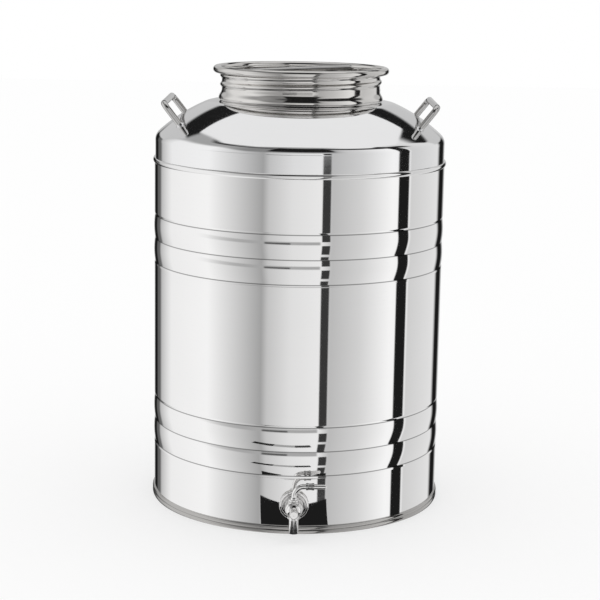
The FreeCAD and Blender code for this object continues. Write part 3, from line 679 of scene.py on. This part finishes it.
dome_line = [(skirt_radius, dome_low.z), (skirt_radius, SHOULDER_START - SKIRT_GUARD)]
dome_line += arc(shoulder_centre, SHOULDER_ROUND, 0, dome_start, 1.5)
dome_line += arc(dome_centre, DOME_RADIUS, dome_start, bend_start, 0.6)[1:]
dome_line += arc(seat_bend_centre, SEAT_BEND, bend_start, seat_start, 1.5)[1:]
dome_line += [(MOUTH_RADIUS, mouth_height)]
dome_sheet = turned("dome_sheet", sheet_section(dome_line, SHEET), DOME_STEEL)
fitted(dome_sheet, "drum", "drum_steel", "shoulder_dome")

# The seam ring is a rolled half-round strip of steel, pressed over the joint of the wall and
# the dome's skirt.
SEAM_PROUD = 0.0007
SEAM_TUCK = 0.0003
SEAM_LIP = 0.0002
SEAM_STEEL = polished_steel(
    "seam_steel", tone=0.88, roughness=0.05, lines=0.01, wave=0.00002, warmth=0.01)
seam_low, seam_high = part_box("seam_ring")
seam_edge = wall_radius + SEAM_PROUD
seam_wall = wall_radius + PRESS_GAP
seam_skirt = skirt_radius + PRESS_GAP
seam_step = wall_high.z + PRESS_GAP
seam_section = [(seam_wall, seam_low.z), (seam_edge - SEAM_TUCK, seam_low.z)]
seam_section += bulge(seam_edge, seam_high.x, seam_low.z + SEAM_LIP, seam_high.z - SEAM_LIP, 20)
seam_section += [(seam_edge - SEAM_TUCK, seam_high.z), (seam_skirt, seam_high.z)]
seam_section += [(seam_skirt, seam_step), (seam_wall, seam_step)]
seam_section += seam_section[:1]
seam_bead = turned("seam_bead", seam_section, SEAM_STEEL)
fitted(seam_bead, "drum", "ring_steel", "seam_ring")

# The neck is a tube of heavier sheet welded on the dome. Its thread is rolled: rollers press
# a helical ridge out of the tube, which leaves a groove inside for the lid.
NECK_SHEET = 0.001
NECK_RADIUS = 0.1004
FLARE_RADIUS = 0.1043
FLARE_HEIGHT = 0.0106
FOOT_RADIUS = 0.1027
FOOT_ROUND = 0.003
RIM_RADIUS = 0.1019
RIM_HEIGHT = 0.0024
RIM_ROUND = 0.0008
THREAD_ROW = 0.00045
THREAD_SEGMENTS = 440
THREAD_PITCH = 0.0112
THREAD_START = 0.5272
THREAD_ANGLE = math.radians(-15)
THREAD_PROUD = 0.0022
THREAD_HALF_WIDTH = 0.0048
THREAD_LEAD = 0.12
THREAD_TURNS = 3.0
WALL_MARGIN = 0.0003
LEAST_RADIUS = 0.001
FLARE_STEPS = 26
FOOT_STEPS = 8


def fine_rows(here, there, gap):
    """Points along a straight run, a gap or less apart."""
    count = math.ceil(math.dist(here, there) / gap)
    return [tuple(a + (b - a) * i / count for a, b in zip(here, there)) for i in range(count + 1)]


def eased_flare(start, end):
    """Points of the smooth step from the flare's radius to the tube's."""
    points = []
    for i in range(1, FLARE_STEPS):
        share = (1 - math.cos(math.pi * i / FLARE_STEPS)) / 2
        height = start[1] + (end[1] - start[1]) * i / FLARE_STEPS
        points.append((start[0] + (end[0] - start[0]) * share, height))
    return points


def rolled_thread_tree():
    """Presses a helical ridge out of a turned sheet: proud outside, hollow inside."""
    names = ("Pitch", "Start Height", "Start Angle", "Turns", "Lead", "Half Width", "Outer Wall",
             "Outer Proud", "Inner Wall", "Inner Proud")
    graph = new_tree("rolled_thread", {**{name: "Float" for name in names}, "Material": "Material"})
    given = {name: graph.add("NodeGroupInput", out=name) for name in names}
    shell = graph.add("NodeGroupInput", out="Geometry")
    place = graph.add("GeometryNodeInputPosition")
    x, y, z = (graph.add("ShaderNodeSeparateXYZ", None, {0: place}, out=axis) for axis in "XYZ")
    radius = (x * x + y * y).math("SQRT")
    turn = ((y.math("ARCTAN2", x) - given["Start Angle"]) / math.tau).math("FRACT")
    rise = (z - given["Start Height"]) / given["Pitch"] - turn
    whole = rise.math("ROUND")
    along = turn + whole
    across = (rise - whole) * given["Pitch"]
    fade = along.step(0.0, given["Lead"])
    fade = fade * (1 - along.step(given["Turns"] - given["Lead"], given["Turns"]))
    outside = radius.math("GREATER_THAN", (given["Outer Wall"] + given["Inner Wall"]) / 2)
    wall = given["Inner Wall"] + (given["Outer Wall"] - given["Inner Wall"]) * outside
    proud = given["Inner Proud"] + (given["Outer Proud"] - given["Inner Proud"]) * outside
    share = (across / given["Half Width"]).math("ABSOLUTE").math("MINIMUM", 1.0)
    wave = (share * math.pi).math("COSINE") * 0.5 + 0.5
    pressed = radius.math("MAXIMUM", wall + proud * wave * fade)
    stretch = pressed / radius.math("MAXIMUM", LEAST_RADIUS)
    spot = graph.add("ShaderNodeCombineXYZ", None, {"X": x * stretch, "Y": y * stretch, "Z": z})
    on_wall = radius.math("GREATER_THAN", given["Inner Wall"] - WALL_MARGIN)
    ridged = graph.add("GeometryNodeSetPosition", None, {
        "Geometry": shell, "Selection": on_wall, "Position": spot})
    return end_tree(graph, ridged)


ROLLED_THREAD = rolled_thread_tree()
NECK_STEEL = polished_steel(
    "neck_steel", tone=0.74, roughness=0.085, lines=0.03, wave=0.00006, warmth=0.05)
neck_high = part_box("neck_collar")[1]
neck_foot = mouth_height
widest = neck_foot + FOOT_ROUND
tube_foot = widest + FLARE_HEIGHT
rim_low = neck_high.z - RIM_HEIGHT
rim_bend = RIM_RADIUS - RIM_ROUND
bore = NECK_RADIUS - NECK_SHEET


def foot_bulge(inset):
    """Points of the neck's rounded foot, from the weld out to its widest part."""
    points = []
    for i in range(FOOT_STEPS + 1):
        share = i / FOOT_STEPS
        swell = (FLARE_RADIUS - FOOT_RADIUS) * math.sin(share * math.pi / 2)
        points.append((FOOT_RADIUS + swell - inset, neck_foot + FOOT_ROUND * share))
    return points


neck_section = foot_bulge(0.0)
neck_section += eased_flare((FLARE_RADIUS, widest), (NECK_RADIUS, tube_foot))
neck_section += fine_rows((NECK_RADIUS, tube_foot), (NECK_RADIUS, rim_low), THREAD_ROW)
neck_section += arc((rim_bend, rim_low + RIM_ROUND), RIM_ROUND, -90, 0, 18)
neck_section += arc((rim_bend, neck_high.z - RIM_ROUND), RIM_ROUND, 0, 90, 18)
neck_section += fine_rows((bore, neck_high.z), (bore, tube_foot), THREAD_ROW)
neck_section += eased_flare((bore, tube_foot), (FLARE_RADIUS - NECK_SHEET, widest))
neck_section += foot_bulge(NECK_SHEET)[::-1] + neck_section[:1]
neck_tube = shaped("neck_tube", [(r, 0.0, z) for r, z in neck_section],
    (TURNED, {"Segments": THREAD_SEGMENTS, "Material": NECK_STEEL}),
    (ROLLED_THREAD, {
        "Pitch": THREAD_PITCH, "Start Height": THREAD_START, "Start Angle": THREAD_ANGLE,
        "Turns": THREAD_TURNS, "Lead": THREAD_LEAD, "Half Width": THREAD_HALF_WIDTH,
        "Outer Wall": NECK_RADIUS, "Outer Proud": THREAD_PROUD,
        "Inner Wall": bore, "Inner Proud": THREAD_PROUD,
        "Material": NECK_STEEL}))
fitted(neck_tube, "drum", "neck_steel", "neck_collar")

# The lid is spun from the wall's sheet: a recessed pan, a wall with its own rolled thread,
# a flange over the neck's rim and a curl round the edge.
CURL_RADIUS = 0.0046
CURL_END = -100
LID_DEPTH = 0.0288
LID_BORE = 0.0974
LID_BEND = 0.006
LID_EDGE_BEND = 0.002
LID_THREAD_PROUD = 0.0028
LID_THREAD_HALF_WIDTH = 0.003
LID_THREAD_TURNS = 1.2
LID_ROW = 0.0005
FLANGE_DROP = 0.0001
LID_STEEL = polished_steel(
    "lid_steel", tone=0.68, roughness=0.075, lines=0.02, wave=0.00006, warmth=0.05)
lid_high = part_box("lid_pan")[1]
curl_centre = (lid_high.x - CURL_RADIUS, lid_high.z - CURL_RADIUS)
flange_top = curl_centre[1] - FLANGE_DROP
pan_floor = flange_top - LID_DEPTH
edge_centre = (LID_BORE + LID_EDGE_BEND, flange_top - LID_EDGE_BEND)
bend_centre = (LID_BORE - LID_BEND, pan_floor + LID_BEND)
lid_line = arc(curl_centre, CURL_RADIUS, CURL_END, 180, 7)
lid_line += [(curl_centre[0] - CURL_RADIUS, flange_top)]
lid_line += arc(edge_centre, LID_EDGE_BEND, 90, 180, 10)
lid_line += fine_rows((LID_BORE, edge_centre[1]), (LID_BORE, bend_centre[1]), LID_ROW)[1:-1]
lid_line += arc(bend_centre, LID_BEND, 0, -90, 6)
lid_line += [(0.0, pan_floor)]
lid_section = sheet_section(lid_line, SHEET)
lid_sheet = shaped("lid_sheet", [(r, 0.0, z) for r, z in lid_section],
    (TURNED, {"Segments": THREAD_SEGMENTS, "Material": LID_STEEL}),
    (ROLLED_THREAD, {
        "Pitch": THREAD_PITCH, "Start Height": THREAD_START + THREAD_PITCH / 2,
        "Start Angle": THREAD_ANGLE + math.pi, "Turns": LID_THREAD_TURNS, "Lead": THREAD_LEAD,
        "Half Width": LID_THREAD_HALF_WIDTH, "Outer Wall": LID_BORE + SHEET,
        "Outer Proud": LID_THREAD_PROUD, "Inner Wall": LID_BORE, "Inner Proud": LID_THREAD_PROUD,
        "Material": LID_STEEL}))
fitted(lid_sheet, "lid", "lid_steel", "lid_pan")

# The lid's seal is a flat ring of pale silicone rubber, moulded with rounded edges. It lies
# between the neck's rim and the lid's flange.
GASKET_ROUND = 0.0004
RUBBER_CLOUDS = 60.0
RUBBER_CLOUD_SHARE = 0.05
PIT_SCALE = 1800.0
PIT_DEPTH = 0.00003


def pale_rubber(name, tone):
    """Silicone rubber: matt, slightly cloudy and finely pitted."""
    material, graph = bare_finish(name)
    place = graph.add("ShaderNodeTexCoord", out="Object")
    cloud = graph.add("ShaderNodeTexNoise", None, {"Vector": place, "Scale": RUBBER_CLOUDS, "Detail": 3.0})
    pits = graph.add("ShaderNodeTexNoise", None, {"Vector": place, "Scale": PIT_SCALE, "Detail": 2.0})
    shade = cloud * RUBBER_CLOUD_SHARE + (tone - RUBBER_CLOUD_SHARE / 2)
    colour = graph.add("ShaderNodeCombineColor", None, {
        "Red": shade, "Green": shade * 0.985, "Blue": shade * 0.93})
    dents = graph.add("ShaderNodeBump", None, {"Height": pits, "Distance": PIT_DEPTH})
    rubber = graph.add("ShaderNodeBsdfPrincipled", None, {
        "Base Color": colour, "Roughness": cloud * 0.1 + 0.5, "Normal": dents, "IOR": 1.42})
    graph.add("ShaderNodeOutputMaterial", None, {"Surface": rubber})
    return material


RUBBER = pale_rubber("seal_rubber", 0.78)
gasket_low, gasket_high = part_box("lid_gasket")
gasket_inside = bore + PRESS_GAP
gasket_bend = gasket_high.x - GASKET_ROUND
gasket_section = arc((gasket_bend, gasket_low.z + GASKET_ROUND), GASKET_ROUND, -90, 0, 30)
gasket_section += arc((gasket_bend, gasket_high.z - GASKET_ROUND), GASKET_ROUND, 0, 90, 30)
gasket_section += [(gasket_inside, gasket_high.z), (gasket_inside, gasket_low.z), gasket_section[0]]
seal_ring = turned("seal_ring", guarded(gasket_section), RUBBER)
fitted(seal_ring, "lid_seal", "gasket_rubber", "lid_gasket")

# The grip is a drawn rod across the lid's recess, bent down at both ends and welded to the
# wall of the recess. It stands level with the curl, a little below its top.
ROD_RADIUS = 0.004
ROD_SIDES = 40
ROD_BEND_POINTS = 16
GRIP_BEND = 0.007
GRIP_LEG = 0.006
GRIP_TURN = math.radians(45)


def bent_rod_tree():
    """Bends a round rod along a line of points, with one radius at every corner."""
    inputs = {"Bend": "Float", "Radius": "Float", "Sides": "Int", "Material": "Material"}
    graph = new_tree("bent_rod", inputs)
    given = {name: graph.add("NodeGroupInput", out=name) for name in ("Bend", "Radius", "Sides")}
    line = graph.add("NodeGroupInput", out="Geometry")
    curve = graph.add("GeometryNodeMeshToCurve", None, {"Mesh": line})
    rounded = graph.add("GeometryNodeFilletCurve", {"mode": "POLY"}, {
        "Curve": curve, "Count": ROD_BEND_POINTS, "Radius": given["Bend"]})
    section = graph.add("GeometryNodeCurvePrimitiveCircle", None, {
        "Resolution": given["Sides"], "Radius": given["Radius"]})
    rod = graph.add("GeometryNodeCurveToMesh", None, {
        "Curve": rounded, "Profile Curve": section, "Fill Caps": True})
    return end_tree(graph, rod)


def bent_rod(name, points, bend, radius, material):
    """A piece of rod, bent along its points."""
    return shaped(name, points, (BENT_ROD, {
        "Bend": bend, "Radius": radius, "Sides": ROD_SIDES, "Material": material}))


BENT_ROD = bent_rod_tree()
ROD_STEEL = polished_steel(
    "rod_steel", tone=0.58, roughness=0.05, lines=0.01, wave=0.00002, warmth=0.03)
grip_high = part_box("lid_grip")[1]
grip_level = grip_high.z - ROD_RADIUS
grip_reach = LID_BORE - ROD_RADIUS - PRESS_GAP
grip_foot = grip_level - GRIP_BEND - GRIP_LEG
grip_side = Vector((math.cos(GRIP_TURN), math.sin(GRIP_TURN), 0.0)) * grip_reach
grip_points = [
    -grip_side + Vector((0, 0, grip_foot)), -grip_side + Vector((0, 0, grip_level)),
    grip_side + Vector((0, 0, grip_level)), grip_side + Vector((0, 0, grip_foot)),
]
grip_rod = bent_rod("grip_rod", grip_points, GRIP_BEND, ROD_RADIUS, ROD_STEEL)
fitted(grip_rod, "lid", "rod_steel", "lid_grip")

# Each side handle is a low U of the same rod that leans outwards. Its two feet stand on the
# dome and are held by weld beads, which follow the dome's slope.
HANDLE_HALF = 0.070
HANDLE_FOOT_X = 0.1483
HANDLE_LEAN = math.radians(38)
HANDLE_RISE = 0.033
HANDLE_BEND = 0.009
FOOT_LIFT = 0.0009
BEAD_RADIUS = 0.0058
BEAD_HEIGHT = 0.0018
BEAD_SINK = 0.0003
BEAD_GAP = 0.0001
BEAD_SIDES = 56
BEAD_ROWS = 10
DROP_ROUNDS = 12


def drop_to_dome(point, way):
    """Point where a line through a point, along a handle's leg, meets the dome's face."""
    for _ in range(DROP_ROUNDS):
        miss = point.z - dome_face(math.hypot(point.x, point.y))
        point = point - way * miss
    return point


def bead_points(foot, side, way):
    """Points of one weld bead, row by row from the dome's face up to the rod."""
    points = []
    for row in range(BEAD_ROWS + 1):
        share = row / BEAD_ROWS
        spread = 1 - math.sin(share * math.pi / 2)
        reach = ROD_RADIUS + BEAD_GAP + (BEAD_RADIUS - ROD_RADIUS) * spread
        for i in range(BEAD_SIDES):
            turn = math.tau * i / BEAD_SIDES
            across = (side * math.cos(turn) + Vector((0, 1, 0)) * math.sin(turn)) * reach
            base = drop_to_dome(foot + across, way) - way * BEAD_SINK
            top = foot + across + way * BEAD_HEIGHT
            points.append(base.lerp(top, (1 - math.cos(share * math.pi)) / 2))
    return points


def bead_faces(first):
    """Faces of one weld bead, whose points start at a number."""
    faces = []
    for row in range(BEAD_ROWS):
        for i in range(BEAD_SIDES):
            here = first + row * BEAD_SIDES + i
            beside = first + row * BEAD_SIDES + (i + 1) % BEAD_SIDES
            faces.append((beside, here, here + BEAD_SIDES, beside + BEAD_SIDES))
    last = first + BEAD_ROWS * BEAD_SIDES
    faces.append(tuple(first + i for i in range(BEAD_SIDES)))
    faces.append(tuple(last + i for i in reversed(range(BEAD_SIDES))))
    return faces


def weld_beads(name, feet, way, material):
    """Weld beads round the feet of a handle, as one mesh."""
    side = way.cross(Vector((0, 1, 0))).normalized()
    points = []
    faces = []
    for foot in feet:
        faces += bead_faces(len(points))
        points += bead_points(foot, side, way)
    mesh = bpy.data.meshes.new(name)
    mesh.from_pydata(points, [], faces)
    mesh.shade_smooth()
    mesh.materials.append(material)
    beads = bpy.data.objects.new(name, mesh)
    scene.collection.objects.link(beads)
    return beads


WELD_STEEL = polished_steel("weld_steel", tone=0.74, roughness=0.20, lines=0.0, wave=0.0)
foot_height = dome_face(math.hypot(HANDLE_FOOT_X, HANDLE_HALF))
for name, side in (("right", 1), ("left", -1)):
    leg_way = Vector((side * math.sin(HANDLE_LEAN), 0.0, math.cos(HANDLE_LEAN)))
    feet = [Vector((side * HANDLE_FOOT_X, end * HANDLE_HALF, foot_height)) for end in (-1, 1)]
    rod_points = [
        feet[0] + leg_way * FOOT_LIFT, feet[0] + leg_way * HANDLE_RISE,
        feet[1] + leg_way * HANDLE_RISE, feet[1] + leg_way * FOOT_LIFT,
    ]
    rod = bent_rod(f"{name}_handle_rod", rod_points, HANDLE_BEND, ROD_RADIUS, ROD_STEEL)
    fitted(rod, "drum", "rod_steel", f"handle_{name}")
    beads = weld_beads(f"{name}_handle_welds", feet, leg_way, WELD_STEEL)
    fitted(beads, "drum", "weld_steel", f"handle_pads_{name}")

# The tap is cast brass, turned, polished and chromed, with pale rubber rings at the wall.
# Its pieces keep the frame's meshes and get their finish here.
FLANGE_GROOVES = 0.0033
FLANGE_BULB = 0.0085
FLANGE_RADIUS = 0.0152
FLANGE_SOFT = 0.0005
GROOVE_DEPTH = 0.00025
# Painted shade: how much darker the colour gets at the bottom of each flange groove.
GROOVE_SHADE_STRENGTH = 0.35
flange_low, flange_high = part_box("tap_outer_gasket")
flange_height = (flange_low.z + flange_high.z) / 2


def flange_grooves_and_shade(graph, place, shade, normal):
    """Turned grooves round the tap's flange, as relief on the casting, with painted shade in each groove.
    """
    x = graph.add("ShaderNodeSeparateXYZ", None, {0: place}, out="X")
    z = graph.add("ShaderNodeSeparateXYZ", None, {0: place}, out="Z") - flange_height
    radius = (x * x + z * z).math("SQRT")
    groove = (radius / FLANGE_GROOVES * math.tau).math("COSINE")
    ring = radius.between(FLANGE_BULB, FLANGE_RADIUS, FLANGE_SOFT)
    relief = graph.add("ShaderNodeBump", None, {
        "Height": groove * ring, "Distance": GROOVE_DEPTH, "Normal": normal})
    # Painted shade: the colour darkens towards each groove's bottom.
    return shade * (1 - ring * (0.5 - groove * 0.5) * GROOVE_SHADE_STRENGTH), relief


CHROME = polished_steel(
    "tap_chrome", tone=0.90, roughness=0.045, lines=0.004, wave=0.0, warmth=0.02)
# The flange's chrome carries painted shade in its grooves.
FLANGE_CHROME = polished_steel(
    "flange_chrome", tone=0.88, roughness=0.05, lines=0.004, wave=0.0, warmth=0.02, relief_and_painted_shade=flange_grooves_and_shade)
SPOUT_CHROME = polished_steel(
    "spout_chrome", tone=0.88, roughness=0.18, lines=0.004, wave=0.0, warmth=0.02)
COLLAR_STEEL = polished_steel(
    "collar_steel", tone=0.50, roughness=0.12, lines=0.02, wave=0.0, warmth=0.02)
NUT_STEEL = polished_steel("nut_steel", tone=0.76, roughness=0.16, lines=0.02, wave=0.0)
TAP_FINISHES = {
    "tap_body": FLANGE_CHROME,
    "tap_spout": SPOUT_CHROME,
    "tap_front_cap": CHROME,
    "tap_plug": CHROME,
    "tap_hub": CHROME,
    "tap_lever": CHROME,
    "tap_lever_collar": COLLAR_STEEL,
    "tap_lock_nut": NUT_STEEL,
    "tap_inner_washer": NUT_STEEL,
    "tap_plug_washer": NUT_STEEL,
    "tap_plug_nut": NUT_STEEL,
    "tap_outer_gasket": RUBBER,
    "tap_inner_gasket": RUBBER,
    "tap_plug_rings": RUBBER,
}
for name, finish in TAP_FINISHES.items():
    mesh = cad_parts[name].data
    mesh.materials.clear()
    mesh.materials.append(finish)

bpy.context.view_layer.update()
